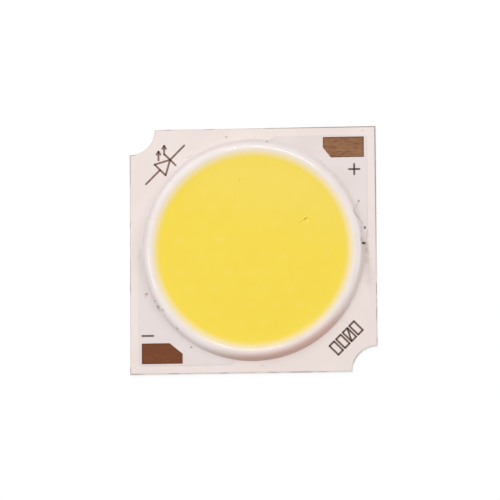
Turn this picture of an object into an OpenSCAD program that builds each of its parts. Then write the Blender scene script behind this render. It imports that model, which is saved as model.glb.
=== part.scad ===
// Chip-on-board LED, light-emitting face up.
// A punched aluminium base carries a laminated circuit with a round opening.
// Sixty dies stand on the bare aluminium inside it, wired as five strings of twelve.
// A dispensed silicone dam runs round them and holds the phosphor fill.
// The origin is the centre of the underside, +X runs to the anode rail and +Y to the anode pad's edge.

/* [Board] */
// Side of the square board
board_side = 19; // [18:0.5:24]
// Thickness of the aluminium base
base_t = 1; // [0.8:0.1:2]
// Radius of the quarter-round screw notch in two opposite corners
notch_r = 1.95; // [1.4:0.05:2.2]
// Edge break that the punch leaves round the underside
edge_break = 0.06; // [0.03:0.01:0.15]

/* [Circuit] */
// Thickness of the insulating sheet
sheet_t = 0.1; // [0.06:0.01:0.2]
// Thickness of the copper foil
copper_t = 0.035; // [0.035:0.005:0.07]
// Thickness of the white solder mask
mask_t = 0.03; // [0.02:0.005:0.06]
// Bare strip between the mask and the board's cut edge
mask_inset = 0.08; // [0.04:0.01:0.15]
// Distance from the board's edge to the copper planes
copper_inset = 0.7; // [0.4:0.05:0.75]
// Distance from the middle line to the end of each copper plane
plane_start = 1.3; // [0.8:0.1:2.5]
// Corner radius of the copper planes beside their pads
plane_corner_r = 0.2; // [0.1:0.05:0.2]
// Radius at the end of each plane, where it turns in to the dam
plane_end_r = 0.6; // [0.3:0.05:0.8]
// Width of the bonding rail under the dam
rail_w = 0.8; // [0.7:0.05:0.95]
// Angle that each rail runs past the X axis, beyond its plane
rail_reach = 42; // [36:1:60]

/* [Solder pads] */
// Length of each pad's window in the mask
pad_l = 3.15; // [2.4:0.05:3.4]
// Width of each pad's window
pad_w = 1.6; // [1.2:0.05:1.8]
// Distance from the board's edge to the window's short side
pad_inset_x = 0.9; // [0.85:0.05:1.2]
// Distance from the board's edge to the window's long side
pad_inset_y = 0.8; // [0.8:0.05:1]
// Cut corner of the anode pad, along X
anode_cut_x = 0.6; // [0.4:0.05:1.2]
// Cut corner of the anode pad, along Y
anode_cut_y = 0.77; // [0.4:0.05:1]
// Cut corner of the cathode pad, along X
cathode_cut_x = 1; // [0.4:0.05:1.2]
// Cut corner of the cathode pad, along Y
cathode_cut_y = 0.83; // [0.4:0.05:1]

/* [Dam and fill] */
// Outside diameter of the dam at its foot
dam_d = 17.1; // [15:0.1:17.4]
// Width of the dam's bead at its foot
dam_w = 1.3; // [1.2:0.05:1.6]
// Height of the dam above the mask
dam_h = 0.6; // [0.5:0.05:0.9]
// Fullness of the bead, from 2 for an ellipse to 4 for a squarer bead
dam_fullness = 2.4; // [2:0.1:4]
// Lap of the dam over the edge of the laminate's opening
dam_lap = 0.2; // [0.1:0.05:0.3]
// Depth of the fill's middle below the top of the dam
fill_drop = 0.1; // [0.05:0.01:0.2]
// Distance over which the fill climbs to the dam
meniscus_l = 0.45; // [0.3:0.05:0.8]

/* [Dies] */
// Length of a die
die_l = 0.89; // [0.7:0.01:1.1]
// Width of a die
die_w = 0.56; // [0.4:0.01:0.8]
// Height of a die
die_h = 0.15; // [0.1:0.01:0.2]
// Distance from the dam's inner foot to the centres of the outermost dies
field_gap = 1.5; // [1:0.05:1.8]
// Angle between neighbouring dies in the two rows that follow the dam
arc_step = 19; // [17:0.5:21]
// Thickness of the adhesive under a die
glue_t = 0.02; // [0.01:0.005:0.04]
// Width of the adhesive's rim round a die
glue_rim = 0.04; // [0.02:0.005:0.08]

/* [Bond wires] */
// Width of the gold wire
wire_d = 0.03; // [0.02:0.005:0.04]
// Rise of a wire's loop above the line between its two bonds
wire_rise = 0.21; // [0.15:0.01:0.3]
// Diameter of a bond
bond_d = 0.08; // [0.06:0.005:0.1]
// Height of a bond
bond_h = 0.03; // [0.02:0.005:0.04]
// Diameter of a die's contact
contact_d = 0.12; // [0.1:0.01:0.16]
// Height of a die's contact
contact_h = 0.01; // [0.005:0.005:0.02]
// Distance from the end of a die to the centre of its contact
contact_inset = 0.115; // [0.1:0.005:0.2]

/* [Hidden] */
STRINGS = [1, 2, 3, 4, 5];
$fn = 96;

// Overlap that makes a cutting tool pass a face, and a width past every outline
over = 0.5;
wide = 2 * board_side;

half_side = board_side / 2;
sheet_top = base_t + sheet_t;
copper_top = sheet_top + copper_t;
mask_top = copper_top + mask_t;
dam_top = mask_top + dam_h;

// Radii, from the dam's outer foot inwards
dam_r = dam_d / 2;
dam_in_r = dam_r - dam_w;
crest_r = dam_r - dam_w / 2;
opening_r = dam_in_r + dam_lap;
// The foil is etched back from the laminate's cut edge
etch_back = 0.12;
rail_r = opening_r + etch_back;
// Bare strip of each rail, for the bonds
landing_w = 0.53;
mask_r = rail_r + landing_w;
landing_r = rail_r + landing_w / 2;

// Rows of dies in each half, from the middle line outwards, and the dies in the row nearest to it
half_rows = 5;
first_row_dies = 8;
field_r = dam_in_r - field_gap;
row_pitch = field_r * cos(arc_step / 2) / (half_rows - 0.5);
die_top = base_t + glue_t + die_h;
contact_x = die_l / 2 - contact_inset;
bond_z = die_top + contact_h + bond_h / 2;
rail_bond_z = copper_top + bond_h / 2;

// Each string as [half, row, place] in the order of its wiring: half is 1 above the X axis and -1 below,
// row counts outwards from 1 and place from the left. Strings 4 and 5 are strings 2 and 1 turned by half a turn.
wiring_far = [
    [1, 3, 0], [1, 4, 0], [1, 5, 0], [1, 4, 1], [1, 5, 1], [1, 4, 2],
    [1, 5, 2], [1, 4, 3], [1, 5, 3], [1, 4, 4], [1, 3, 4], [1, 3, 5]];
wiring_near = [
    [1, 2, 0], [1, 2, 1], [1, 3, 1], [1, 2, 2], [1, 3, 2], [1, 2, 3],
    [1, 3, 3], [1, 2, 4], [1, 2, 5], [1, 1, 6], [1, 2, 6], [1, 1, 7]];
wiring_centre = [
    [1, 1, 0], [1, 1, 1], [-1, 1, 5], [1, 1, 2], [1, 1, 3], [-1, 1, 4],
    [-1, 1, 3], [1, 1, 4], [1, 1, 5], [-1, 1, 2], [-1, 1, 1], [-1, 1, 0]];
addresses = [wiring_far, wiring_near, wiring_centre, wiring_near, wiring_far];

// Places of the dies

function row_dies(row) = first_row_dies + 1 - row;
function row_y(row) = (row - 0.5) * row_pitch;
function row_end(row) = sqrt(field_r * field_r - row_y(row) * row_y(row));
// A straight row's ends lie on the field's circle, and the outermost row follows that circle.
function upper_die(row, place) =
    let (n = row_dies(row), share = place / (n - 1), a = (place - (n - 1) / 2) * arc_step)
    row < half_rows
        ? [row_end(row) * (2 * share - 1), row_y(row)]
        : field_r * [sin(a), cos(a)];
function die_centre(address) = address[0] * upper_die(address[1], address[2]);
function string_centres(s) = [for (a = addresses[s - 1]) die_centre(a)];
// A wire leaves a die on the side where the next one lies: 1 is right and -1 left.
function exit_side(c, i) = i < len(c) - 1 && c[i + 1][0] < c[i][0] - die_l / 4 ? -1 : 1;
function contact(c, i, side) = c[i] + [side * contact_x, 0];
function landing(p) = landing_r * p / norm(p);

// Outlines

function arc_points(centre, r, from, to, steps = 8) =
    [for (i = [0:steps]) let (a = from + (to - from) * i / steps) centre + r * [cos(a), sin(a)]];
// Copper plane from the middle line out to its reach. Its lower left corner lies inside the rail.
function plane_points(reach, r, end_r, x0) = concat(
    arc_points([reach - r, 0], r, -90, 0),
    arc_points([reach - r, reach - r], r, 0, 90),
    arc_points([x0 + end_r, reach - end_r], end_r, 90, 180),
    [[x0, -r]]);
function cut_corner_box(l, w, cut_x, cut_y) =
    [[0, 0], [-l, 0], [-l, cut_y - w], [cut_x - l, -w], [0, -w]];

// Square with the two screw notches, drawn in by the inset, less whatever is given as its child
module board_outline(inset = 0) {
    difference() {
        square(board_side - 2 * inset, center = true);
        for (s = [-1, 1]) translate([-s * half_side, s * half_side]) circle(notch_r + inset);
        children();
    }
}

// Ring of copper under the dam, from the angle rail_reach below the X axis up to its plane's end
module rail_outline(grow = 0) {
    low = -rail_reach - asin(grow / crest_r);
    high = 90 - asin((plane_start + plane_end_r) / crest_r);
    intersection() {
        difference() {
            circle(rail_r + rail_w + grow);
            circle(rail_r - grow);
        }
        polygon([[0, 0], for (a = [low, 0, high]) wide * [cos(a), sin(a)]]);
    }
}

// One circuit: the bonding rail and the plane that carries its pad. The other is this one turned by half a turn.
module copper_outline(grow = 0) {
    reach = half_side - copper_inset + grow;
    union() {
        rail_outline(grow);
        difference() {
            polygon(plane_points(reach, plane_corner_r + grow, plane_end_r + grow, plane_start - grow));
            circle(rail_r - grow);
        }
    }
}

module pad_window(cut_x, cut_y) {
    translate([half_side - pad_inset_x, half_side - pad_inset_y])
        polygon(cut_corner_box(pad_l, pad_w, cut_x, cut_y));
}

module mask_outline() {
    board_outline(mask_inset) {
        circle(mask_r);
        pad_window(anode_cut_x, anode_cut_y);
        rotate(180) pad_window(cathode_cut_x, cathode_cut_y);
    }
}

// Board

module punched_edge_break() {
    for (a = [0:90:270]) rotate(a) translate([half_side, 0, 0]) rotate([0, 45, 0])
        cube([sqrt(2) * edge_break, wide, sqrt(2) * edge_break], center = true);
    for (s = [-1, 1]) translate([-s * half_side, s * half_side, -edge_break])
        cylinder(r1 = notch_r + 2 * edge_break, r2 = notch_r, h = 2 * edge_break);
}

module base_plate() {
    color("silver") difference() {
        linear_extrude(base_t) board_outline();
        punched_edge_break();
    }
}

module insulating_sheet() {
    color("tan") translate([0, 0, base_t]) linear_extrude(sheet_t) board_outline() circle(opening_r);
}

module copper(turn) {
    color("peru") rotate(turn) translate([0, 0, sheet_top]) linear_extrude(copper_t) copper_outline();
}

// The mask lies on the sheet and steps up over the copper.
module solder_mask() {
    color("whitesmoke") difference() {
        union() {
            translate([0, 0, sheet_top]) linear_extrude(mask_t) mask_outline();
            for (turn = [0, 180]) translate([0, 0, sheet_top]) linear_extrude(copper_t + mask_t) intersection() {
                mask_outline();
                rotate(turn) copper_outline(mask_t);
            }
        }
        for (turn = [0, 180]) copper(turn);
    }
}

// Dam and fill

bead_steps = 12;
// The fill wets the dam's inner slope up to this step.
wet_step = 10;
// Point of the bead's superellipse at one step, from 0 at its foot to bead_steps at its crest
function bead_point(i, foot_r, foot_z) =
    let (t = 90 * i / bead_steps, across = pow(cos(t), 2 / dam_fullness), up = pow(sin(t), 2 / dam_fullness))
    [crest_r + (foot_r - crest_r) * across, foot_z + (dam_top - foot_z) * up];
wet_edge = bead_point(wet_step, dam_in_r, base_t);
fill_top = dam_top - fill_drop;
fill_steps = 10;
fill_reach = 4 * meniscus_l;
// The fill's surface falls from the wet edge towards the middle as a fading exponential.
function fill_z(r) = fill_top + (wet_edge[1] - fill_top) * exp((r - wet_edge[0]) / meniscus_l);
function fill_surface() =
    [for (i = [0:fill_steps]) let (r = wet_edge[0] - fill_reach * pow(i / fill_steps, 2)) [r, fill_z(r)]];

module dam_bead() {
    rotate_extrude() polygon(concat(
        [for (i = [0:bead_steps]) bead_point(i, dam_in_r, base_t)],
        [for (i = [bead_steps - 1:-1:0]) bead_point(i, dam_r, sheet_top)],
        [[dam_r, base_t]]));
}

module dam() {
    color("white") difference() {
        dam_bead();
        insulating_sheet();
        copper(0);
        copper(180);
        solder_mask();
        for (s = STRINGS) rail_wires(s);
    }
}

module phosphor_fill() {
    color("gold") difference() {
        rotate_extrude() polygon(concat(
            [[0, base_t]],
            [for (i = [0:wet_step]) bead_point(i, dam_in_r, base_t)],
            [for (i = [1:fill_steps]) fill_surface()[i]],
            [[0, fill_surface()[fill_steps][1]]]));
        for (s = STRINGS) {
            dies(s);
            die_glue(s);
            die_wires(s);
            rail_wires(s);
        }
    }
}

// Dies

module turn_string(s) {
    rotate(s > 3 ? 180 : 0) children();
}

module die() {
    translate([0, 0, base_t + glue_t + die_h / 2]) cube([die_l, die_w, die_h], center = true);
    for (side = [-1, 1]) translate([side * contact_x, 0, die_top]) cylinder(d = contact_d, h = contact_h, $fn = 8);
}

module dies(s) {
    color("lightsteelblue") turn_string(s) for (c = string_centres(s)) translate(c) die();
}

module die_glue(s) {
    spread = [die_l, die_w] + 2 * glue_rim * [1, 1];
    color("lightyellow") turn_string(s) for (c = string_centres(s))
        translate([c[0], c[1], base_t + glue_t / 2]) cube([spread[0], spread[1], glue_t], center = true);
}

// Bond wires

// A loop of wire over the line between two bonds: an arc that rises wire_rise above it
module bond_wire(from, from_z, to, to_z) {
    step = to - from;
    run = norm(step);
    span = norm([run, to_z - from_z]);
    r = (span * span / 4 + wire_rise * wire_rise) / (2 * wire_rise);
    swing = asin(span / (2 * r));
    middle = (from + to) / 2;
    translate([middle[0], middle[1], (from_z + to_z) / 2])
        rotate([0, -atan2(to_z - from_z, run), atan2(step[1], step[0])])
            translate([0, 0, wire_rise - r]) rotate([90, 0, 0]) rotate(90 - swing)
                rotate_extrude(angle = 2 * swing) translate([r, 0]) circle(d = wire_d, $fn = 6);
    translate([from[0], from[1], from_z - bond_h / 2]) cylinder(d = bond_d, h = bond_h, $fn = 8);
    translate([to[0], to[1], to_z - bond_h / 2]) cylinder(d = bond_d, h = bond_h, $fn = 8);
}

// Wires between the dies of one string
module die_wires(s) {
    c = string_centres(s);
    turn_string(s) for (i = [0:len(c) - 2])
        bond_wire(contact(c, i, exit_side(c, i)), bond_z, contact(c, i + 1, -exit_side(c, i + 1)), bond_z);
}

// Wires from a string's two ends out to the rails
module rail_wires(s) {
    c = string_centres(s);
    last = len(c) - 1;
    ends = [contact(c, 0, -exit_side(c, 0)), contact(c, last, exit_side(c, last))];
    turn_string(s) for (p = ends) bond_wire(p, bond_z, landing(p), rail_bond_z);
}

module bond_wires(s) {
    color("goldenrod") {
        die_wires(s);
        rail_wires(s);
    }
}

base_plate();
insulating_sheet();
copper(0);  // anode_copper
copper(180);  // cathode_copper
solder_mask();
dam();
phosphor_fill();
for (s = STRINGS) {
    dies(s);
    die_glue(s);
    bond_wires(s);
}
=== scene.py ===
import math

import bpy
import numpy as np
from mathutils import Matrix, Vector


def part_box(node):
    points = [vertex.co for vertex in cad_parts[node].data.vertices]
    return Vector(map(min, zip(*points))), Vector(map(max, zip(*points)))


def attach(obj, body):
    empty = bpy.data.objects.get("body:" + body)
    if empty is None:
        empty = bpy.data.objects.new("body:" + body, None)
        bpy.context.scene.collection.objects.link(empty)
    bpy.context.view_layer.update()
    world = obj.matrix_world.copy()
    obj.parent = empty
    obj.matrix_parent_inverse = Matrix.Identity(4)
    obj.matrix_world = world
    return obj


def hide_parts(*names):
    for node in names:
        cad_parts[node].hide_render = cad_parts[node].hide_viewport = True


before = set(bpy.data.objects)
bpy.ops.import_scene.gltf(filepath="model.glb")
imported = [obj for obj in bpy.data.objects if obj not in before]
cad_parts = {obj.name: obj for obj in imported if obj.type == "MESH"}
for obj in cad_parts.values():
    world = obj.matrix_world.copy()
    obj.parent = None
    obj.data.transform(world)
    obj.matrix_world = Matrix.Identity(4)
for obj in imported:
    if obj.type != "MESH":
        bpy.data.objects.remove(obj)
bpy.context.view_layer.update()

MM = 0.001

# Heights of the layers and radii of the dam, as the frame's solids have them
BASE_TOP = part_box("base_plate")[1][2]
SHEET_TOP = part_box("insulating_sheet")[1][2]
COPPER_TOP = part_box("anode_copper")[1][2]
MASK_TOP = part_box("solder_mask")[1][2]
MASK_FILM = MASK_TOP - COPPER_TOP
MASK_LOW = SHEET_TOP + MASK_FILM
DAM_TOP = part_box("dam")[1][2]
DAM_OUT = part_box("dam")[1][0]
DAM_WIDE = 1.3 * MM
DAM_IN = DAM_OUT - DAM_WIDE
CREST = DAM_OUT - DAM_WIDE / 2
# Exponent of the dam's superellipse, and how far up it the fill wets its inner slope
FULLNESS = 2.4
WET_ANGLE = math.radians(75)
# How far the fill's middle lies below the dam's crest, and the distance over which it climbs to the dam
FILL_DROP = 0.1 * MM
FILL_LEVEL = DAM_TOP - FILL_DROP
MENISCUS = 0.45 * MM
# How far the fill laps over the wetted edge and into the slope below it, so that no gap shows
FILL_LAP = 0.05 * MM
FILL_SINK = 0.01 * MM


# Colour and shader helpers

def colour(code):
    """An sRGB hex code as a linear RGBA colour."""
    c = np.array([int(code[i:i + 2], 16) for i in (0, 2, 4)]) / 255
    linear = np.where(c <= 0.04045, c / 12.92, ((c + 0.055) / 1.055) ** 2.4)
    return (*linear.tolist(), 1.0)


def add(tree, kind, inputs=None, out=0, **settings):
    """Adds one shader node with its settings, its inputs' values and its links, and gives its output. A string
    is a hex colour."""
    n = tree.nodes.new("ShaderNode" + kind)
    for key, value in settings.items():
        setattr(n, key, value)
    for key, value in (inputs or {}).items():
        if isinstance(value, bpy.types.NodeSocket):
            tree.links.new(value, n.inputs[key])
        else:
            n.inputs[key].default_value = colour(value) if isinstance(value, str) else value
    return n.outputs[out] if n.outputs else None


def new_material(name):
    """An empty material and its node tree."""
    m = bpy.data.materials.new(name)
    m.use_nodes = True
    m.node_tree.nodes.clear()
    return m, m.node_tree


def mark_cover(tree, here, x, y, long, wide, turn, depth):
    """How far an elliptic mark hides what it lies on: depth at its middle, fading to none at its edge. Its
    place and size are in millimetres and its turn in degrees."""
    own = add(tree, "Mapping", {"Vector": here, "Location": (x * MM, y * MM, 0),
                                "Rotation": (0, 0, math.radians(turn)),
                                "Scale": (long / 2 * MM, wide / 2 * MM, 1)}, vector_type="TEXTURE")
    away = add(tree, "VectorMath", {0: own}, out="Value", operation="LENGTH")
    return add(tree, "MapRange", {"Value": away, "From Min": 0.1, "From Max": 1.0,
                                  "To Min": depth, "To Max": 0.0}, interpolation_type="SMOOTHSTEP")


# Materials

# Stains on the mask, with painted shade: place, length and width in millimetres, turn in degrees, and how far each
# one covers
# The first three are a painted shadow of the dam along its right foot, and the tenth is painted shade along its
# lower-left foot; the rest are real stains and specks
STAINS_AND_SHADOWS = [(8.74, -0.35, 2.6, 0.62, 92, 0.30), (8.76, 1.1, 1.3, 0.40, 80, 0.22), (8.72, -1.3, 5.8, 1.3, 100, 0.26),
          (-8.84, -0.40, 0.9, 0.45, 70, 0.14), (-4.86, 7.38, 0.9, 0.16, 35, 0.32), (8.50, 9.14, 0.34, 0.24, 60, 0.34),
          (0.19, 8.78, 0.30, 0.18, 20, 0.25), (0.69, -8.94, 0.34, 0.16, 10, 0.28), (8.95, 0.99, 0.28, 0.20, 40, 0.25),
          (-6.6, -5.3, 1.3, 0.16, -52, 0.35), (-8.27, -3.43, 0.35, 0.25, 20, 0.25)]


def white_solder_mask():
    """White epoxy solder mask, screened on, exposed and cured: satin, with the faint orange peel of a flowed film.
    Over the copper it is thinner, so the foil greys it a little. Along the dam's right foot lies a brown painted
    shadow, along its lower-left foot a painted shade, and a few real brown stains and specks lie elsewhere."""
    m, t = new_material("white_solder_mask_satin")
    here = add(t, "TexCoord", out="Object")
    height = add(t, "SeparateXYZ", {"Vector": here}, out="Z")
    on_copper = add(t, "MapRange", {"Value": height, "From Min": MASK_LOW + 0.2 * (MASK_TOP - MASK_LOW),
                                    "From Max": MASK_TOP}, interpolation_type="SMOOTHSTEP")
    clouds = add(t, "TexNoise", {"Vector": here, "Scale": 0.5 / (1.6 * MM)})
    cloudy = add(t, "MapRange", {"Value": clouds, "From Min": 0.35, "From Max": 0.65},
                 interpolation_type="SMOOTHSTEP")
    bare = add(t, "Mix", {"Factor": cloudy, 6: "ECDFDA", 7: "E9DBD6"}, out=2, data_type="RGBA")
    over_foil = add(t, "Mix", {"Factor": cloudy, 6: "E3D8D5", 7: "E0D3CF"}, out=2, data_type="RGBA")
    tone = add(t, "Mix", {"Factor": on_copper, 6: bare, 7: over_foil}, out=2, data_type="RGBA")
    patches = add(t, "TexNoise", {"Vector": here, "Scale": 0.5 / (0.2 * MM), "Detail": 2.0})
    patchy = add(t, "MapRange", {"Value": patches, "From Min": 0.3, "From Max": 0.6, "To Min": 0.5})
    # Painted shadow and shade by the dam's foot, and the real stains, all mixed in as one brown
    for stain in STAINS_AND_SHADOWS:
        cover = add(t, "Math", {0: mark_cover(t, here, *stain), 1: patchy}, operation="MULTIPLY")
        tone = add(t, "Mix", {"Factor": cover, 6: tone, 7: "8E7365"}, out=2, data_type="RGBA")
    peel = add(t, "TexNoise", {"Vector": here, "Scale": 0.5 / (0.12 * MM)})
    bump = add(t, "Bump", {"Height": peel, "Distance": 0.0015 * MM}, out="Normal")
    shader = add(t, "BsdfPrincipled", {"Base Color": tone, "Roughness": 0.42, "IOR": 1.5, "Normal": bump})
    add(t, "OutputMaterial", {"Surface": shader})
    return m


# Radii between which the film of phosphor resin on the dam fades out, and between which the painted shade sets in
FILM_EDGE = (7.60 * MM, 8.00 * MM)
SHADE_TINT_EDGE = (7.75 * MM, 8.35 * MM)
# Painted warm shade on the dam's outer wall, on the sides turned away from the lamps: the way that it faces in
# degrees, how far towards that way it starts and is full in millimetres, and how far it covers
PAINTED_SHADE_TINT = [(-72, 5.4, 8.4, 0.95), (-15, 1.5, 8.4, 0.12)]


def dam_silicone():
    """White filled silicone, dispensed as a bead and cured: glossy and a little translucent, with a cream film of
    phosphor resin on the slope that the fill has wetted, and a painted warm brown shade on the outer wall of the
    sides turned away from the lamps."""
    m, t = new_material("white_silicone_dispensed_bead")
    here = add(t, "TexCoord", out="Object")
    flat = add(t, "VectorMath", {0: here, 1: (1, 1, 0)}, operation="MULTIPLY")
    radius = add(t, "VectorMath", {0: flat}, out="Value", operation="LENGTH")
    clear = add(t, "MapRange", {"Value": radius, "From Min": FILM_EDGE[0], "From Max": FILM_EDGE[1]},
                interpolation_type="SMOOTHSTEP")
    clouds = add(t, "TexNoise", {"Vector": here, "Scale": 0.5 / (0.9 * MM)})
    cloudy = add(t, "MapRange", {"Value": clouds, "From Min": 0.3, "From Max": 0.7}, interpolation_type="SMOOTHSTEP")
    body = add(t, "Mix", {"Factor": cloudy, 6: "F2E8E5", 7: "EEE3E0"}, out=2, data_type="RGBA")
    tone = add(t, "Mix", {"Factor": clear, 6: "F3E3C4", 7: body}, out=2, data_type="RGBA")
    outside = add(t, "MapRange", {"Value": radius, "From Min": SHADE_TINT_EDGE[0], "From Max": SHADE_TINT_EDGE[1]},
                  interpolation_type="SMOOTHSTEP")
    # Painted shade: a warm brown tint on the outer wall where it faces away from the lamps
    for facing, start, full, cover in PAINTED_SHADE_TINT:
        way = (math.cos(math.radians(facing)), math.sin(math.radians(facing)), 0)
        toward = add(t, "VectorMath", {0: here, 1: way}, out="Value", operation="DOT_PRODUCT")
        shade_side = add(t, "MapRange", {"Value": toward, "From Min": start * MM, "From Max": full * MM,
                                      "To Max": cover}, interpolation_type="SMOOTHSTEP")
        darker_share = add(t, "Math", {0: shade_side, 1: outside}, operation="MULTIPLY")
        tone = add(t, "Mix", {"Factor": darker_share, 6: tone, 7: "DAB4A6"}, out=2, data_type="RGBA")
    swells = add(t, "TexNoise", {"Vector": here, "Scale": 0.5 / (0.35 * MM)})
    bump = add(t, "Bump", {"Height": swells, "Distance": 0.002 * MM}, out="Normal")
    shader = add(t, "BsdfPrincipled", {"Base Color": tone, "Roughness": 0.42, "IOR": 1.43, "Normal": bump,
                                       "Coat Weight": 0.35, "Coat Roughness": 0.07,
                                       "Subsurface Weight": 0.2, "Subsurface Radius": (1.0, 0.6, 0.5),
                                       "Subsurface Scale": 0.2 * MM})
    add(t, "OutputMaterial", {"Surface": shader})
    return m


# Radii between which the fill thins out up the dam
THIN_EDGE = (7.08 * MM, 7.86 * MM)
# Marks in the fill's skin, laid out as STAINS_AND_SHADOWS is, and the tone of each: painted highlights on the burrs
# that a tool raised on both sides of its scratch, painted shade in the scratch, which deepens towards its end, and a
# pinhole with a painted highlight on its raised rim and painted shade in its hollow
SCRATCH_HIGHLIGHTS_AND_SHADE = [(3.97, 2.40, 0.62, 0.17, 30, 0.80, "FFE858"), (4.19, 2.12, 0.48, 0.17, 25, 0.80, "FFE858"),
             (3.74, 2.08, 0.80, 0.17, 32, 0.50, "D2B01C"), (4.08, 2.30, 0.58, 0.21, 32, 0.90, "BC9400"),
             (-0.80, 5.29, 0.22, 0.18, 0, 0.70, "FFE85C"), (-0.96, 5.40, 0.26, 0.18, 60, 0.50, "C29A08")]


def phosphor_silicone():
    """Clear silicone filled with yellow phosphor, poured and cured: an even, fine-grained yellow with a satin skin.
    It is paler where it thins out up the dam, paler on the side towards the lamps where a painted sheen stands in for
    their reflection, and a shade lighter over each die. A scratch and a pinhole in the skin have painted shade of
    darker gold in their hollows and painted highlights on their raised rims."""
    m, t = new_material("yellow_phosphor_silicone_poured")
    here = add(t, "TexCoord", out="Object")
    flat = add(t, "VectorMath", {0: here, 1: (1, 1, 0)}, operation="MULTIPLY")
    radius = add(t, "VectorMath", {0: flat}, out="Value", operation="LENGTH")
    thin = add(t, "MapRange", {"Value": radius, "From Min": THIN_EDGE[0], "From Max": THIN_EDGE[1]},
               interpolation_type="SMOOTHSTEP")
    clouds = add(t, "TexNoise", {"Vector": here, "Scale": 0.5 / (0.7 * MM), "Detail": 3.0})
    settled = add(t, "MapRange", {"Value": clouds, "From Min": 0.3, "From Max": 0.7}, interpolation_type="SMOOTHSTEP")
    body = add(t, "Mix", {"Factor": settled, 6: "F4D636", 7: "F4D739"}, out=2, data_type="RGBA")
    over_die = add(t, "Attribute", out="Fac", attribute_name="over_die")
    tone = add(t, "Mix", {"Factor": over_die, 6: body, 7: "F7DB4E"}, out=2, data_type="RGBA")
    # Painted sheen: the fill is paler towards the lamps' side, in place of their reflection
    side = add(t, "VectorMath", {0: here, 1: (0.3, 0.95, 0)}, out="Value", operation="DOT_PRODUCT")
    starved = add(t, "MapRange", {"Value": side, "From Min": 0.5 * MM, "From Max": 6 * MM, "To Max": 0.8},
                  interpolation_type="SMOOTHSTEP")
    tone = add(t, "Mix", {"Factor": starved, 6: tone, 7: "F2D74F"}, out=2, data_type="RGBA")
    tone = add(t, "Mix", {"Factor": thin, 6: tone, 7: "F2E2C6"}, out=2, data_type="RGBA")
    ridge = add(t, "TexNoise", {"Vector": here, "Scale": 0.5 / (0.5 * MM)})
    # Painted highlights on the raised burrs and rim, and painted shade in the scratch and the pinhole
    for *scratch, shade in SCRATCH_HIGHLIGHTS_AND_SHADE:
        cut = mark_cover(t, here, *scratch)
        tone = add(t, "Mix", {"Factor": cut, 6: tone, 7: shade}, out=2, data_type="RGBA")
        ridge = add(t, "Math", {0: ridge, 1: cut}, operation="SUBTRACT")
    bump = add(t, "Bump", {"Height": ridge, "Distance": 0.004 * MM}, out="Normal")
    shader = add(t, "BsdfPrincipled", {"Base Color": tone, "Roughness": 0.36, "IOR": 1.43, "Normal": bump})
    add(t, "OutputMaterial", {"Surface": shader})
    return m


# Middle and half size of the anode pad's window in the mask. The cathode's is the same about the origin
PAD_AT = (7.025 * MM, 7.9 * MM, 0)
PAD_HALF = (1.575 * MM, 0.8 * MM, 1)
# Width of the darker rim along the window's edge: partly deeper oxide, partly painted shade of the mask's edge
OXIDE_AND_SHADE_EDGE = 0.16 * MM


def tarnished_copper(name, bright, dull, rim):
    """Bare copper foil, etched and left unplated: a fine rolled grain along the board under a brown oxide skin, so
    that only half of it still shines as metal. It is darker along the edge of the mask, partly from deeper oxide and
    partly from painted shade of the mask's edge."""
    m, t = new_material(name)
    here = add(t, "TexCoord", out="Object")
    along = add(t, "Mapping", {"Vector": here, "Scale": (1 / 6, 1, 1)})
    rolled = add(t, "TexNoise", {"Vector": along, "Scale": 0.5 / (0.05 * MM), "Detail": 3.0})
    lines = add(t, "MapRange", {"Value": rolled, "From Min": 0.3, "From Max": 0.7}, interpolation_type="SMOOTHSTEP")
    tone = add(t, "Mix", {"Factor": lines, 6: bright, 7: dull}, out=2, data_type="RGBA")
    # Darker rim along the mask's edge: partly oxide, partly painted shade of that edge
    either = add(t, "VectorMath", {0: here}, operation="ABSOLUTE")
    off = add(t, "VectorMath", {0: either, 1: PAD_AT}, operation="SUBTRACT")
    inward = add(t, "VectorMath", {0: PAD_HALF, 1: add(t, "VectorMath", {0: off}, operation="ABSOLUTE")},
                 operation="SUBTRACT")
    sides = add(t, "SeparateXYZ", {"Vector": inward})
    nearest = add(t, "Math", {0: sides, 1: sides.node.outputs["Y"]}, operation="MINIMUM")
    edge = add(t, "MapRange", {"Value": nearest, "From Min": 0, "From Max": OXIDE_AND_SHADE_EDGE, "To Min": 0.9, "To Max": 0.0},
               interpolation_type="SMOOTHSTEP")
    tone = add(t, "Mix", {"Factor": edge, 6: tone, 7: rim}, out=2, data_type="RGBA")
    bump = add(t, "Bump", {"Height": rolled, "Distance": 0.001 * MM}, out="Normal")
    shader = add(t, "BsdfPrincipled", {"Base Color": tone, "Metallic": 0.5, "Roughness": 0.6, "Normal": bump})
    add(t, "OutputMaterial", {"Surface": shader})
    return m


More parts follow.
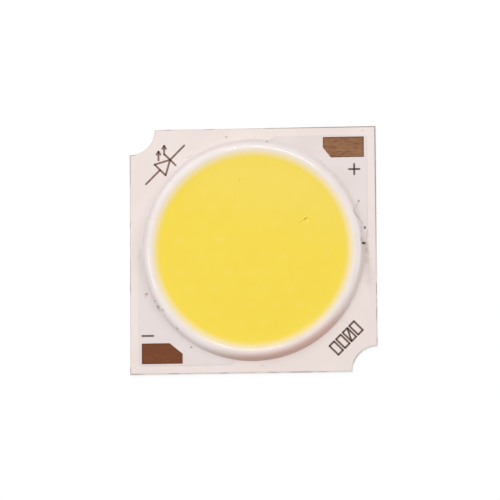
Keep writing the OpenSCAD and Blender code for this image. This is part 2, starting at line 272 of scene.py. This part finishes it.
def punched_aluminium():
    """Rolled aluminium sheet, punched to shape: a satin face with fine rolling lines along X, and brighter,
    burnished sides whose upright drag marks break up the shine."""
    m, t = new_material("rolled_aluminium_punched")
    here = add(t, "TexCoord", out="Object")
    along = add(t, "Mapping", {"Vector": here, "Scale": (1 / 40, 1, 1)})
    rolled = add(t, "TexNoise", {"Vector": along, "Scale": 0.5 / (0.04 * MM), "Detail": 3.0})
    upright = add(t, "Mapping", {"Vector": here, "Scale": (1, 1, 1 / 12)})
    dragged = add(t, "TexNoise", {"Vector": upright, "Scale": 0.5 / (0.06 * MM)})
    facing = add(t, "SeparateXYZ", {"Vector": add(t, "NewGeometry", out="Normal")}, out="Z")
    level = add(t, "Math", {0: facing}, operation="ABSOLUTE")
    lines = add(t, "Mix", {"Factor": level, "A": dragged, "B": rolled}, data_type="FLOAT")
    streaks = add(t, "MapRange", {"Value": lines, "From Min": 0.25, "From Max": 0.75},
                  interpolation_type="SMOOTHSTEP")
    tone = add(t, "Mix", {"Factor": streaks, 6: "F1F2F2", 7: "F8F8F7"}, out=2, data_type="RGBA")
    bump = add(t, "Bump", {"Height": lines, "Distance": 0.0015 * MM}, out="Normal")
    rough = add(t, "MapRange", {"Value": level, "To Min": 0.2, "To Max": 0.38})
    shader = add(t, "BsdfPrincipled", {"Base Color": tone, "Metallic": 1.0, "Roughness": rough, "Normal": bump})
    add(t, "OutputMaterial", {"Surface": shader})
    return m


def glass_laminate():
    """Glass-filled epoxy sheet, pressed and cured: matt warm grey, with flecks of glass at the cut edge, which is
    darker towards the anode's corner and in patches."""
    m, t = new_material("glass_epoxy_laminate_cut")
    here = add(t, "TexCoord", out="Object")
    glass = add(t, "TexNoise", {"Vector": here, "Scale": 0.5 / (0.05 * MM), "Detail": 3.0})
    flecks = add(t, "MapRange", {"Value": glass, "From Min": 0.35, "From Max": 0.65}, interpolation_type="SMOOTHSTEP")
    corner = add(t, "VectorMath", {0: here, 1: (0.75, 0.66, 0)}, out="Value", operation="DOT_PRODUCT")
    dark = add(t, "MapRange", {"Value": corner, "From Min": 5 * MM, "From Max": 11 * MM},
               interpolation_type="SMOOTHSTEP")
    stretches = add(t, "TexNoise", {"Vector": here, "Scale": 0.5 / (0.9 * MM)})
    darker_patches = add(t, "MapRange", {"Value": stretches, "From Min": 0.5, "From Max": 0.62, "To Max": 0.6},
                  interpolation_type="SMOOTHSTEP")
    darker_share = add(t, "Math", {0: dark, 1: darker_patches}, operation="MAXIMUM")
    clean = add(t, "Mix", {"Factor": flecks, 6: "DDD2CA", 7: "E6DDD5"}, out=2, data_type="RGBA")
    tone = add(t, "Mix", {"Factor": darker_share, 6: clean, 7: "9C8F85"}, out=2, data_type="RGBA")
    bump = add(t, "Bump", {"Height": flecks, "Distance": 0.002 * MM}, out="Normal")
    shader = add(t, "BsdfPrincipled", {"Base Color": tone, "Roughness": 0.7, "IOR": 1.55, "Normal": bump})
    add(t, "OutputMaterial", {"Surface": shader})
    return m


def fine_finish(name, one, other, size, depth, settings):
    """A hidden piece's surface: two tones in a fine noise of the given size, which also lifts it by depth."""
    m, t = new_material(name)
    here = add(t, "TexCoord", out="Object")
    noise = add(t, "TexNoise", {"Vector": here, "Scale": 0.5 / size, "Detail": 3.0})
    worked = add(t, "MapRange", {"Value": noise, "From Min": 0.3, "From Max": 0.7}, interpolation_type="SMOOTHSTEP")
    tone = add(t, "Mix", {"Factor": worked, 6: one, 7: other}, out=2, data_type="RGBA")
    bump = add(t, "Bump", {"Height": worked, "Distance": depth}, out="Normal")
    shader = add(t, "BsdfPrincipled", {"Base Color": tone, "Normal": bump, **settings})
    add(t, "OutputMaterial", {"Surface": shader})
    return m


def sapphire_die():
    """Diced sapphire with a gallium nitride face: clear, faintly blue crystal, polished, finely ground where
    it was cut."""
    return fine_finish("sapphire_diced", "B9C6D2", "C9D4DD", 0.02 * MM, 0.0005 * MM, {"Roughness": 0.15, "IOR": 1.77})


def die_adhesive():
    """White filled silicone adhesive, stamped and cured: satin, with a slightly lumpy rim."""
    return fine_finish("white_die_adhesive_cured", "E6E2D8", "F0ECE4", 0.05 * MM, 0.001 * MM,
                       {"Roughness": 0.5, "IOR": 1.43})


def drawn_gold():
    """Drawn gold wire: bright, with faint draw lines that soften its shine."""
    return fine_finish("gold_wire_drawn", "E9BE62", "F3CE7A", 0.01 * MM, 0.0003 * MM,
                       {"Metallic": 1.0, "Roughness": 0.22})


def burnt_ink(name, deep, thin):
    """Brown legend ink, screened on and baked: matt, a little uneven in depth."""
    return fine_finish(name, deep, thin, 0.12 * MM, 0.002 * MM, {"Roughness": 0.6, "IOR": 1.5})


def grey_dust():
    """Settled workshop dust: dull grey-brown grains with a rough face."""
    return fine_finish("grey_brown_dust_dull", "B0A398", "C6BAAF", 0.04 * MM, 0.004 * MM,
                       {"Roughness": 0.85, "IOR": 1.4})


def burnt_flux():
    """A crumb of burnt flux: dark brown, hard and faintly glossy."""
    return fine_finish("burnt_flux_crumb", "38261F", "503A30", 0.04 * MM, 0.004 * MM,
                       {"Roughness": 0.45, "IOR": 1.5})


# Meshes

def piece(name, verts, faces, material, smooth_below=None, attribute=None):
    """A closed mesh at the origin that rides on the board. Faces are rows of vertex numbers, and edges
    sharper than smooth_below degrees stay sharp."""
    mesh = bpy.data.meshes.new(name)
    mesh.from_pydata(np.asarray(verts).tolist(), [], [f for rows in faces for f in np.asarray(rows).tolist()])
    if smooth_below:
        mesh.shade_smooth()
        mesh.set_sharp_from_angle(angle=math.radians(smooth_below))
    if attribute:
        key, values = attribute
        mesh.attributes.new(key, "FLOAT", "POINT").data.foreach_set("value", np.asarray(values, np.float32))
    mesh.materials.append(material)
    mesh.validate()
    o = bpy.data.objects.new(name, mesh)
    bpy.context.scene.collection.objects.link(o)
    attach(o, "root")
    return o


def ring_faces(rows, turns, closed):
    """Quads between neighbouring rows of a turned grid. The last row joins the first where it is closed."""
    j = np.arange(rows if closed else rows - 1)[:, None]
    i = np.arange(turns)[None, :]
    nxt, across = (j + 1) % rows, (i + 1) % turns
    corners = [j * turns + i, nxt * turns + i, nxt * turns + across, j * turns + across]
    return np.stack(np.broadcast_arrays(*corners), -1).reshape(-1, 4)


def bead_point(t, foot_r, foot_z):
    """Point of the dam's superellipse: from the foot's radius and height at t = 0 to the crest at a right
    angle, with cos and sin of t raised to 2 / FULLNESS."""
    across = np.abs(np.cos(t)) ** (2 / FULLNESS)
    up = np.abs(np.sin(t)) ** (2 / FULLNESS)
    return CREST + (foot_r - CREST) * across, foot_z + (DAM_TOP - foot_z) * up


# Where the bead's end meets its start, and the groove there
SEAM_ANGLE = math.radians(163)
SEAM_DEPTH = 0.035 * MM
SEAM_WIDE = 0.05 * MM
# How far the outer foot is tucked in, how far it flares out again, and how high the flare reaches
FOOT_TUCK = 0.04 * MM
FOOT_FLARE = 0.06 * MM
FLARE_HIGH = 0.07 * MM
# The side where the foot has spread the most, and how many times further it runs there
SPREAD_SIDE = math.radians(70)
SPREAD = 1.6


def dam_bead(turns=720, steps=48):
    """The dispensed bead: a superellipse section carried round the circle, whose outer foot is tucked in a
    little and then flares over the mask as a fading exponential, which runs further on one side. Its radius and
    height sway by a few sine waves, as a needle lays it, and a narrow groove with a bell-shaped section crosses
    it where its end meets its start."""
    t = np.linspace(0, math.pi / 2, steps // 2 + 1)
    inner = bead_point(t, DAM_IN, BASE_TOP)
    outer = bead_point(t[::-1][1:], DAM_OUT - FOOT_TUCK, SHEET_TOP)
    r = np.concatenate([inner[0], outer[0]])[:, None]
    z = np.concatenate([inner[1], outer[1]])[:, None]
    a = np.linspace(0, 2 * math.pi, turns, endpoint=False)[None, :]
    spread = 1 + SPREAD * (0.5 + 0.5 * np.cos(a - SPREAD_SIDE)) ** 2
    flare = FOOT_FLARE * spread * np.exp(-(z - MASK_TOP).clip(0) / (FLARE_HIGH * spread ** 0.7))
    r = r + np.where(r > CREST, flare, 0)
    high = (z - SHEET_TOP).clip(0) / (DAM_TOP - SHEET_TOP)
    sway = 0.012 * np.sin(3 * a + 1.0) + 0.008 * np.sin(7 * a + 2.2) + 0.004 * np.sin(17 * a)
    sink = 0.006 * (1 + np.sin(5 * a + 0.7)) + 0.003 * (1 + np.sin(11 * a + 2.0))
    off = (a - SEAM_ANGLE - 0.025 * (r - CREST) / DAM_WIDE) * r
    groove = SEAM_DEPTH * np.exp(-(off / SEAM_WIDE) ** 2)
    r_at = r + high * sway * MM + 0.7 * groove * (1 - high) * np.sign(CREST - r)
    z_at = z - high * (sink * MM + groove)
    verts = np.stack([r_at * np.cos(a), r_at * np.sin(a), z_at], -1).reshape(-1, 3)
    return verts, ring_faces(len(r), turns, closed=True)


# Length and width of a die
DIE = np.array([0.89, 0.56]) * MM
# The glow over a die: half its length and width, how softly it ends, and its place off the die's middle
GLOW_HALF = DIE * 0.3
DIE_BLUR = 0.09 * MM
GLOW_SHIFT = np.array([-0.065, 0.12]) * MM


def die_centres():
    """Centre of each die: halfway between two bottom corners that lie one die apart along both axes."""
    centres = []
    for name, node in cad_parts.items():
        if name.startswith("dies_string"):
            v = np.empty(len(node.data.vertices) * 3, np.float32)
            node.data.vertices.foreach_get("co", v)
            v = v.reshape(-1, 3).astype(float)
            low = np.unique(v[v[:, 2] < v[:, 2].min() + 0.01 * MM][:, :2].round(6), axis=0)
            step = low[:, None] + DIE - low[None]
            i, j = np.nonzero(np.abs(step).max(-1) < 0.01 * MM)
            centres.append((low[i] + low[j]) / 2)
    return np.concatenate(centres)


def soft_box(d, half):
    """1 inside a span of twice half, 0 outside it, with each end a logistic step of width DIE_BLUR."""
    return 1 / (1 + np.exp(-(d + half) / DIE_BLUR)) - 1 / (1 + np.exp(-(d - half) / DIE_BLUR))


def fill_surface(turns=480, rings=110):
    """The poured fill: a turned profile that is level in the middle and climbs the dam as a fading
    exponential, then the dam's inner slope down to the base and the flat underside. over_die is the sum of
    the dies' soft boxes, seen through the fill."""
    wet_r, wet_z = bead_point(WET_ANGLE, DAM_IN, BASE_TOP)
    rim = wet_r + FILL_LAP
    r_top = rim * np.linspace(0, 1, rings + 1)[1:] ** 0.8
    z_top = FILL_LEVEL + (wet_z - FILL_LEVEL) * np.exp((np.minimum(r_top, wet_r) - wet_r) / MENISCUS)
    side = bead_point(np.linspace(WET_ANGLE, 0, 12)[1:], DAM_IN, BASE_TOP)
    r = np.concatenate([r_top, side[0] + FILL_SINK])[:, None]
    z = np.concatenate([z_top, side[1]])[:, None]
    a = np.linspace(0, 2 * math.pi, turns, endpoint=False)[None, :]
    x, y = r * np.cos(a), r * np.sin(a)
    ripple = 0.004 * np.sin(0.9e3 * x + 1) * np.sin(1.1e3 * y) + 0.003 * np.sin(2.3e3 * x) * np.sin(1.9e3 * y + 2)
    calm = (r < wet_r) & (z > BASE_TOP + 0.3 * MM)
    z = z + np.where(calm, ripple * MM, 0)
    verts = np.stack([x, y, z], -1).reshape(-1, 3)
    verts = np.concatenate([verts, [[0, 0, FILL_LEVEL], [0, 0, BASE_TOP]]])
    i = np.arange(turns)
    across = (i + 1) % turns
    rows = len(r)
    top = np.stack([np.full(turns, rows * turns), i, across], -1)
    bottom = np.stack([np.full(turns, rows * turns + 1), (rows - 1) * turns + across, (rows - 1) * turns + i], -1)
    glow = np.zeros(len(verts))
    for k, (x, y) in enumerate(die_centres() + GLOW_SHIFT):
        # Some dies show more than others
        seen = 0.6 + 0.4 * math.sin(2.4 * k)
        glow += seen * soft_box(verts[:, 0] - x, GLOW_HALF[0]) * soft_box(verts[:, 1] - y, GLOW_HALF[1])
    glow[verts[:, 2] < FILL_LEVEL - 0.05 * MM] = 0
    return verts, [ring_faces(rows, turns, closed=False), top, bottom], ("over_die", glow)


INK_THICK = 0.012 * MM


def strokes(segments, wide, foot, ends=10):
    """Printed lines: each segment is a slab with half-round ends, its outline a half circle about each end,
    and its top drawn in a little, as ink flows. Segments are in millimetres."""
    p, q = np.array(segments, float).reshape(-1, 2, 2).transpose(1, 0, 2) * MM
    turn = np.arctan2(*(q - p).T[::-1])[:, None]
    a = np.linspace(-math.pi / 2, math.pi / 2, ends)[None, :] + turn
    arc = np.stack([np.cos(a), np.sin(a)], -1) * wide / 2
    unit = np.concatenate([arc, -arc], 1)
    middle = np.concatenate([np.repeat(q[:, None], ends, 1), np.repeat(p[:, None], ends, 1)], 1)
    layers = [np.concatenate([middle + unit * out, np.full(unit.shape[:2] + (1,), foot + INK_THICK * up)], -1)
              for out, up in ((1.0, 0.0), (1.0, 0.6), (0.8, 1.0))]
    n = 2 * ends
    verts = np.stack(layers, 1).reshape(-1, 3)
    first = np.arange(len(p))[:, None] * 3 * n
    i = np.arange(n)[None, :]
    low = np.concatenate([i, i + n], 1)
    up = np.concatenate([(i + 1) % n, (i + 1) % n + n], 1)
    walls = np.stack([low, up, up + n, low + n], -1) + first[..., None]
    return verts, [walls.reshape(-1, 4), 2 * n + i + first, i[:, ::-1] + first]


def turned(segments, centre, angle):
    """Segments drawn about (0, 0), turned by the angle in degrees and moved to the centre."""
    c, s = math.cos(math.radians(angle)), math.sin(math.radians(angle))
    m = np.array([[c, -s], [s, c]])
    ends = np.array(segments, float).reshape(-1, 2) @ m.T + centre
    return ends.reshape(-1, 4)


# The plus and minus signs by the pads
SIGN_WIDE = 0.15 * MM
PLUS = [(7.44, 6.165, 8.24, 6.165), (7.84, 5.765, 7.84, 6.565)]
MINUS = [(-8.55, -6.52, -7.72, -6.52)]

# A plain light-emitting diode symbol: leads, triangle, bar and two arrows of light
PRINT_WIDE = 0.15 * MM
SYMBOL = [(-2.1, 0, -0.55, 0), (0.55, 0, 2.1, 0), (-0.55, -0.6, -0.55, 0.6), (-0.55, 0.6, 0.55, 0),
          (-0.55, -0.6, 0.55, 0), (0.55, -0.6, 0.55, 0.6)]
for shift in (0.0, 0.62):
    SYMBOL += [(shift - 0.10, 0.62, shift + 0.38, 1.10), (shift + 0.38, 1.10, shift + 0.12, 1.04),
               (shift + 0.38, 1.10, shift + 0.32, 0.84)]

# Four boxes for a brightness rank, with a stroke through the third, as a maker ticks one
BOX_LEFT = [0.72 * k - 1.33 for k in range(4)]
BOX_SIDES = [(0, -0.48, 0.5, -0.48), (0.5, -0.48, 0.5, 0.48), (0.5, 0.48, 0, 0.48), (0, 0.48, 0, -0.48)]
BOXES = [(left + x, y, left + x2, y2) for left in BOX_LEFT for x, y, x2, y2 in BOX_SIDES]
BOXES += [(BOX_LEFT[2], -0.48, BOX_LEFT[2] + 0.5, 0.48)]


def wall_height(r):
    """Height of the dam's outer wall at a radius, where the superellipse across^n + up^n = 1 has it."""
    across = ((r - CREST) / (DAM_OUT - CREST)).clip(0, 1)
    return SHEET_TOP + (DAM_TOP - SHEET_TOP) * (1 - across ** FULLNESS) ** (1 / FULLNESS)


def crumbs(grains, height, seed=7):
    """Grains: balls of a few rings with a lumpy radius, each as long and wide as listed and flattened to the
    given height for its width. One by the dam lies on its wall."""
    rng = np.random.default_rng(seed)
    up, turns = np.linspace(-math.pi / 2, math.pi / 2, 6)[1:-1], np.linspace(0, 2 * math.pi, 8, endpoint=False)
    x, y, long, wide, turn, foot = np.array(grains).T
    lumps = 1 + 0.3 * rng.uniform(-1, 1, (len(grains), len(up), len(turns)))
    ball = np.stack([np.cos(up)[:, None] * np.cos(turns) * lumps, np.cos(up)[:, None] * np.sin(turns) * lumps,
                     np.sin(up)[:, None] + 0 * lumps], -1).reshape(len(grains), -1, 3)
    poles = np.broadcast_to([[0.0, 0, -1], [0, 0, 1]], (len(grains), 2, 3))
    ball = np.concatenate([ball, poles], 1) * np.stack([long / 2, wide / 2, wide * height / 2], -1)[:, None] * MM
    c, s = np.cos(np.radians(turn)), np.sin(np.radians(turn))
    spin = np.stack([np.stack([c, s, 0 * c], -1), np.stack([-s, c, 0 * c], -1),
                     np.stack([0 * c, 0 * c, 1 + 0 * c], -1)], 1)
    foot = np.maximum(foot, wall_height(np.hypot(x, y) * MM))
    at = np.stack([x * MM, y * MM, foot + wide * height * 0.3 * MM], -1)
    verts = (ball @ spin + at[:, None]).reshape(-1, 3)
    n, rows = len(turns), len(up)
    i = np.arange(n)
    south = np.stack([np.full(n, rows * n), (i + 1) % n, i], -1)
    north = np.stack([np.full(n, rows * n + 1), (rows - 1) * n + i, (rows - 1) * n + (i + 1) % n], -1)
    grid = ring_faces(rows, n, closed=False)[:, ::-1]
    first = (np.arange(len(grains)) * (rows * n + 2))[:, None, None]
    return verts, [(f[None] + first).reshape(-1, f.shape[1]) for f in (grid, south, north)]


def fibre(points, thick, sides=6, steps=40):
    """A lint fibre: a circle carried along a smooth curve, a cubic through four points, that lies on the
    dam's wall and on the mask beside it. Its ends are drawn to a tip. Points are in millimetres."""
    p = np.array(points, float) * MM
    s = np.linspace(0, 1, steps)
    path = np.vander(s, 4) @ np.linalg.inv(np.vander(np.linspace(0, 1, 4), 4)) @ p
    path = np.column_stack([path, wall_height(np.linalg.norm(path, axis=1)).clip(MASK_TOP) + 0.4 * thick])
    ahead = np.gradient(path, axis=0)
    ahead /= np.linalg.norm(ahead, axis=1, keepdims=True)
    aside = np.cross(ahead, [0, 0, 1])
    over = np.cross(aside, ahead)
    a = np.linspace(0, 2 * math.pi, sides, endpoint=False)[None, :, None]
    size = (thick / 2 * np.sin(np.linspace(0.15, math.pi - 0.15, steps)) ** 0.3)[:, None, None]
    verts = path[:, None] + size * (np.cos(a) * aside[:, None] + np.sin(a) * over[:, None])
    caps = [np.arange(sides)[None, :], (np.arange(sides)[::-1] + (steps - 1) * sides)[None, :]]
    return verts.reshape(-1, 3), [ring_faces(steps, sides, closed=False)[:, ::-1], *caps]


# Each grain's place, length, width and turn, in millimetres and degrees, and the height that it lies at. The
# crumbs are laid out in the same way, and the fibre by four points of its curve
GRAINS = [(8.15, 3.66, 0.20, 0.16, 60, MASK_TOP),
          (1.17, 8.36, 0.18, 0.12, 150, MASK_LOW), (-2.00, 8.84, 0.15, 0.12, 110, MASK_LOW),
          (-8.24, -3.28, 0.22, 0.16, 20, MASK_TOP), (-7.51, -3.86, 0.20, 0.14, 0, MASK_TOP),
          (-7.29, -4.31, 0.30, 0.24, 60, MASK_TOP), (-6.94, -4.61, 0.26, 0.12, 120, MASK_TOP),
          (-5.82, -6.03, 0.20, 0.10, 140, MASK_TOP), (-4.79, -7.44, 0.20, 0.14, 30, MASK_TOP),
          (8.36, 0.66, 0.30, 0.12, 105, MASK_TOP)]
CRUMBS = [(8.48, 0.37, 0.43, 0.18, 2, MASK_TOP), (8.62, 1.61, 0.18, 0.13, 90, MASK_TOP)]
LINT = [(8.14, 3.5), (7.82, 2.93), (8.07, 2.42), (8.51, 1.95)]
LINT_THICK = 0.045 * MM


# Materials of the frame's own nodes
BY_NODE = {
    "base_plate": punched_aluminium(),
    "insulating_sheet": glass_laminate(),
    "anode_copper": tarnished_copper("copper_foil_light_tarnish", "8A6243", "6F472B", "5A3A22"),
    "cathode_copper": tarnished_copper("copper_foil_deep_tarnish", "6A3917", "612F10", "5A2C10"),
    "solder_mask": white_solder_mask(),
}
BY_KIND = {"dies_string": sapphire_die(), "die_glue": die_adhesive(), "bond_wires": drawn_gold()}
for name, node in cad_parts.items():
    if name in ("dam", "phosphor_fill"):
        continue
    kind = next((k for k in BY_KIND if name.startswith(k)), None)
    node.data.materials.clear()
    node.data.materials.append(BY_KIND[kind] if kind else BY_NODE[name])

verts, faces = dam_bead()
dam = piece("dam_bead", verts, [faces], dam_silicone(), smooth_below=60)
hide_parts("dam")

verts, faces, over_die = fill_surface()
fill = piece("phosphor_pour", verts, faces, phosphor_silicone(), smooth_below=60, attribute=over_die)
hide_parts("phosphor_fill")

ink = burnt_ink("brown_legend_ink_full", "543F38", "6B5349")
pale_ink = burnt_ink("brown_legend_ink_starved", "72564B", "8A6C60")
dust = grey_dust()
piece("plus_print", *strokes(PLUS, SIGN_WIDE, MASK_TOP), ink)
piece("minus_print", *strokes(MINUS, SIGN_WIDE, MASK_TOP), ink)
piece("diode_symbol_print", *strokes(turned(SYMBOL, (-6.75, 6.75), 45), PRINT_WIDE, MASK_LOW), pale_ink)
piece("rank_boxes_print", *strokes(turned(BOXES, (7.1, -6.9), 45), PRINT_WIDE, MASK_LOW), ink)
piece("dust_grains", *crumbs(GRAINS, 0.35), dust)
piece("flux_crumbs", *crumbs(CRUMBS, 1.0, seed=3), burnt_flux())
piece("lint_fibre", *fibre(LINT, LINT_THICK), dust)


# Floor, light and camera

def seen_directly(tree):
    """1 for what the camera, a reflection or a clear piece sees, and 0 for the light that falls on things."""
    seen = add(tree, "LightPath", out="Is Camera Ray")
    seen = add(tree, "Math", {0: seen, 1: add(tree, "LightPath", out="Is Glossy Ray")}, operation="MAXIMUM")
    return add(tree, "Math", {0: seen, 1: add(tree, "LightPath", out="Is Transmission Ray")}, operation="MAXIMUM")


# Half side of the table, its own glow, and how much of the light on it the paint gives back
TABLE_HALF = 0.6
TABLE_GLOW = 0.88
TABLE_PAINT = 0.15


def white_table():
    """Matt white table: a part of it is lit as paint is and keeps the shadow, and the rest is a plain glow
    for what sees it. Its underside is clear, so that the part can be looked at from below."""
    m, t = new_material("white_table_matt")
    glow = add(t, "Math", {0: seen_directly(t), 1: TABLE_GLOW}, operation="MULTIPLY")
    plain = add(t, "Emission", {"Color": "FFFFFF", "Strength": glow})
    lit = add(t, "BsdfDiffuse", {"Color": (TABLE_PAINT, TABLE_PAINT, TABLE_PAINT, 1)})
    top = add(t, "AddShader", {0: lit, 1: plain})
    under = add(t, "NewGeometry", out="Backfacing")
    add(t, "OutputMaterial", {"Surface": add(t, "MixShader", {0: under, 1: top, 2: add(t, "BsdfTransparent")})})
    return m


# A hair under the part, so that the two faces don't share one plane
TABLE_AT = -0.02 * MM
ground = bpy.data.meshes.new("table")
ground.from_pydata([(x * TABLE_HALF, y * TABLE_HALF, TABLE_AT) for x, y in ((-1, -1), (1, -1), (1, 1), (-1, 1))],
                   [], [(0, 1, 2, 3)])
ground.materials.append(white_table())
table = bpy.data.objects.new("table", ground)
bpy.context.scene.collection.objects.link(table)

# The sky's light on things, where 1 makes a white one white
SKY = 0.358
world = bpy.data.worlds.new("plain_sky")
bpy.context.scene.world = world
world.use_nodes = True
world.node_tree.nodes.clear()
level = add(world.node_tree, "MapRange", {"Value": seen_directly(world.node_tree), "To Min": SKY, "To Max": 1.0})
sky = add(world.node_tree, "Background", {"Color": "FFFFFF", "Strength": level})
add(world.node_tree, "OutputWorld", {"Surface": sky})


def stand(o, across, upright, back, at):
    """Puts an object in the scene with these axes and at this place."""
    bpy.context.scene.collection.objects.link(o)
    m = np.eye(4)
    m[:3, 0], m[:3, 1], m[:3, 2], m[:3, 3] = across, upright, back, at
    o.matrix_world = Matrix(m.tolist())


def lamp(name, azimuth, elevation, level, side, away):
    """A square soft lamp that faces the board's middle. Azimuth is anticlockwise from +X. level is the light
    that it alone gives a level surface, where 1 makes a white one white: power = level * pi^2 *
    distance^2 / sin(elevation)."""
    data = bpy.data.lights.new(name, "AREA")
    data.shape = "SQUARE"
    data.size = side
    data.energy = level * math.pi ** 2 * away ** 2 / math.sin(math.radians(elevation))
    a, e = math.radians(azimuth), math.radians(elevation)
    back = np.array([math.cos(a) * math.cos(e), math.sin(a) * math.cos(e), math.sin(e)])
    across = np.array([-math.sin(a), math.cos(a), 0])
    stand(bpy.data.objects.new(name, data), across, np.cross(back, across), back, back * away)


lamp("window", 128, 42, 0.20, 0.42, 0.6)
lamp("lamp_top", 97, 70.6, 0.11, 0.045, 0.3)
lamp("lamp_left", 170, 69, 0.10, 0.045, 0.3)
lamp("lamp_right", 8, 36, 0.17, 0.25, 0.5)
lamp("lamp_low", 216, 38, 0.08, 0.25, 0.5)


def camera(azimuth, elevation, roll, distance, lens, target):
    """A camera on the line from the target. Azimuth 0 looks along +Y, and roll turns the picture."""
    a, e, r = (math.radians(v) for v in (azimuth, elevation, roll))
    back = np.array([math.sin(a) * math.cos(e), -math.cos(a) * math.cos(e), math.sin(e)])
    right = np.cross(-back, [0, 0, 1])
    right /= np.linalg.norm(right)
    up = np.cross(right, -back)
    across = right * math.cos(r) + up * math.sin(r)
    upright = up * math.cos(r) - right * math.sin(r)
    data = bpy.data.cameras.new("camera")
    data.sensor_width = 36
    data.lens = lens
    data.clip_start = 0.01
    data.clip_end = 10
    o = bpy.data.objects.new("camera", data)
    stand(o, across, upright, back, np.array(target) + back * distance)
    bpy.context.scene.camera = o


camera(azimuth=26.5, elevation=81.05, roll=-27.15, distance=0.366, lens=343.1,
       target=(-0.228 * MM, 0.012 * MM, MASK_TOP))

bpy.context.scene.view_settings.view_transform = "Standard"
